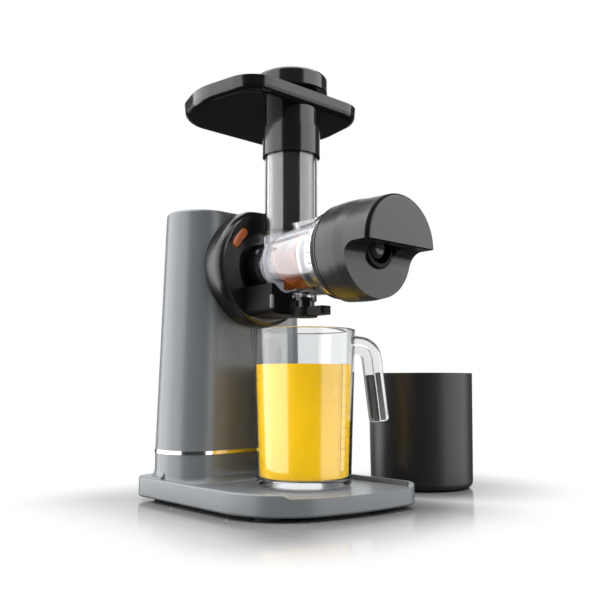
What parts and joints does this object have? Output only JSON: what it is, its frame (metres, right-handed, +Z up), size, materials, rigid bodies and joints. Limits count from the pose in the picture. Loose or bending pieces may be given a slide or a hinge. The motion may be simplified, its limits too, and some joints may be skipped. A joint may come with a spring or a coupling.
{
  "type": "cold press juicer",
  "caption": "Upright slow juicer: a motor tower on a flat base, a horizontal drum with a feed tube and tray above, a jug under it and a separate pulp cup.",
  "frame": {"origin": "on the counter, directly below the feed tube's axis, at the middle of the foot that stands there", "axes": "+X along the drum, from the tower towards the pulp outlet; +Y towards the machine's left side, where the pulp cup stands; +Z up"},
  "size_m": [0.2893, 0.3556, 0.423],
  "materials": {
    "space_grey": "satin",
    "dark_plastic": "satin",
    "gloss_black": "gloss",
    "bright_trim": "polished",
    "clear_plastic": "gloss",
    "amber_plastic": "gloss",
    "rubber": "matt",
    "steel": "brushed",
    "white_plastic": "matt",
    "board_green": "matt",
    "magnet": "matt",
    "winding": "satin"
  },
  "bodies": {
    "base": {"base_shell": "space_grey", "base_plate": "dark_plastic", "feet": "rubber", "base_screws": "steel", "cord_gland": "rubber", "trim_ring": "bright_trim", "tower_shell": "space_grey", "control_panel": "gloss_black", "switch_board": "board_green", "control_board": "board_green", "gearbox_front": "dark_plastic", "gearbox_rear": "dark_plastic", "gearbox_posts": "steel", "gearbox_screws": "steel", "idler_pins": "steel", "motor_can": "steel", "motor_magnets": "magnet", "motor_end": "steel", "motor_bearings": "steel", "front_bearing": "steel", "rear_bearing": "steel", "shaft_seal": "rubber", "bezel": "gloss_black", "bezel_screws": "steel", "drive_hub": "gloss_black", "drum_cradle": "dark_plastic", "start_spring": "steel", "reverse_spring": "steel", "release_spring": "steel"},
    "start_key": {"start_button": "dark_plastic"},
    "reverse_key": {"reverse_button": "dark_plastic"},
    "release_key": {"release_button": "amber_plastic"},
    "drive": {"drive_shaft": "steel", "output_gear": "white_plastic"},
    "second_wheel": {"second_gear": "white_plastic"},
    "first_wheel": {"first_gear": "white_plastic"},
    "rotor": {"motor_shaft": "steel", "armature": "winding", "motor_pinion": "steel"},
    "drum": {"juicing_chamber": "clear_plastic", "chamber_seal": "rubber", "strainer": "steel", "cap_seal": "rubber", "outlet_nozzle": "gloss_black"},
    "screw": {"auger": "amber_plastic", "auger_tip": "steel"},
    "cap": {"end_cap": "dark_plastic", "outlet_ring": "gloss_black"},
    "drip_stop": {"drip_lever": "gloss_black"},
    "tray": {"hopper": "gloss_black"},
    "pusher": {"tamper_stem": "gloss_black", "tamper_cap": "gloss_black"},
    "juice_jug": {"jug": "clear_plastic", "jug_handle": "clear_plastic"},
    "cup": {"pulp_cup": "dark_plastic"}
  },
  "joints": [
    {"name": "start_press", "type": "slide", "parent": "base", "child": "start_key", "axis": [0, 0, -1], "range_m": [0, 0.0012], "stiffness_N_per_m": 500, "deforming": ["start_spring"]},
    {"name": "reverse_press", "type": "slide", "parent": "base", "child": "reverse_key", "axis": [0, 0, -1], "range_m": [0, 0.0012], "stiffness_N_per_m": 500, "deforming": ["reverse_spring"]},
    {"name": "release_press", "type": "slide", "parent": "base", "child": "release_key", "axis": [-1, 0, 0], "range_m": [0, 0.0025], "stiffness_N_per_m": 700},
    {"name": "drive_spin", "type": "hinge", "parent": "base", "child": "drive", "pos_m": [-0.07, 0, 0.2343], "axis": [1, 0, 0], "continuous": true},
    {"name": "second_wheel_spin", "type": "hinge", "parent": "base", "child": "second_wheel", "pos_m": [-0.07, 0, 0.18105], "axis": [1, 0, 0], "continuous": true},
    {"name": "first_wheel_spin", "type": "hinge", "parent": "base", "child": "first_wheel", "pos_m": [-0.07, 0, 0.13792], "axis": [1, 0, 0], "continuous": true},
    {"name": "motor_spin", "type": "hinge", "parent": "base", "child": "rotor", "pos_m": [-0.07, 0, 0.10193], "axis": [1, 0, 0], "continuous": true},
    {"name": "drum_pull", "type": "slide", "parent": "base", "child": "drum", "axis": [1, 0, 0], "range_m": [0, 0.045]},
    {"name": "auger_spin", "type": "hinge", "parent": "drum", "child": "screw", "pos_m": [-0.07, 0, 0.2343], "axis": [1, 0, 0], "continuous": true},
    {"name": "cap_pull", "type": "slide", "parent": "drum", "child": "cap", "axis": [1, 0, 0], "range_m": [0, 0.06]},
    {"name": "drip_swing", "type": "hinge", "parent": "drum", "child": "drip_stop", "pos_m": [0.02, 0, 0.185], "axis": [0, 0, 1], "range_deg": [0, 65]},
    {"name": "hopper_lift", "type": "slide", "parent": "drum", "child": "tray", "axis": [0, 0, 1], "range_m": [0, 0.05]},
    {"name": "tamper_lift", "type": "slide", "parent": "tray", "child": "pusher", "axis": [0, 0, 1], "range_m": [0, 0.16]},
    {"name": "jug_slide", "type": "slide", "parent": "base", "child": "juice_jug", "axis": [0.9976, 0, 0.0698], "range_m": [0, 0.13]},
    {"name": "cup_lift", "type": "slide", "parent": "base", "child": "cup", "axis": [0, 0, 1], "range_m": [0, 0.1]}
  ],
  "couplings": [
    {"joint": "second_wheel_spin", "follows": "drive_spin", "ratio": -3.1765},
    {"joint": "first_wheel_spin", "follows": "drive_spin", "ratio": 9.7163},
    {"joint": "motor_spin", "follows": "drive_spin", "ratio": -34.007},
    {"joint": "auger_spin", "follows": "drive_spin", "ratio": 1}
  ]
}
